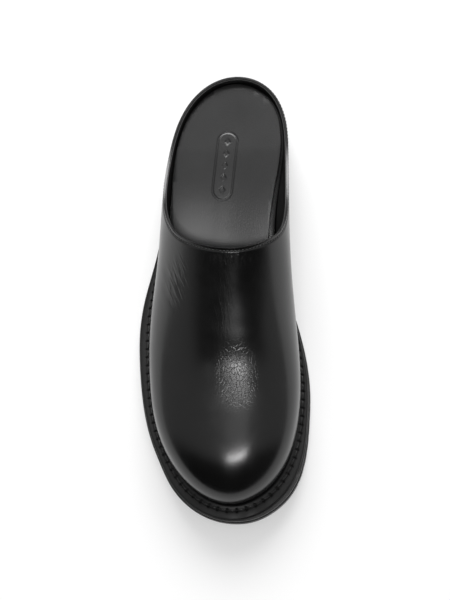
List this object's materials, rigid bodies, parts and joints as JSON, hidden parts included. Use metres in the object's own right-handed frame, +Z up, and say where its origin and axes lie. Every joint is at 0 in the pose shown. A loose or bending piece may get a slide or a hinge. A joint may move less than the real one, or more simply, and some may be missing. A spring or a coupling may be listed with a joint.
{
  "type": "mule shoe",
  "caption": "Round-toed leather mule with a one-piece upper, a low rim round the heel, a stitched welt, a lugged rubber sole and a low block heel.",
  "frame": {"origin": "on the floor, under the middle of the shoe's box", "axes": "+Z up, +Y from the toe to the heel, +X towards the inner side of the foot"},
  "size_m": [0.115, 0.2978, 0.089],
  "materials": {
    "upper_leather": "smooth black calf, polished, fine grain",
    "sock_leather": "matt charcoal sock leather",
    "welt_leather": "black waxed welt with black thread",
    "sole_edge": "trimmed and inked black edge",
    "sole_rubber": "matt black moulded rubber"
  },
  "bodies": {
    "root": {"upper": "upper_leather", "insole": "sock_leather", "welt": "welt_leather", "midsole": "sole_edge", "outsole": "sole_rubber", "heel_block": "sole_edge", "top_lift": "sole_rubber"}
  },
  "joints": []
}
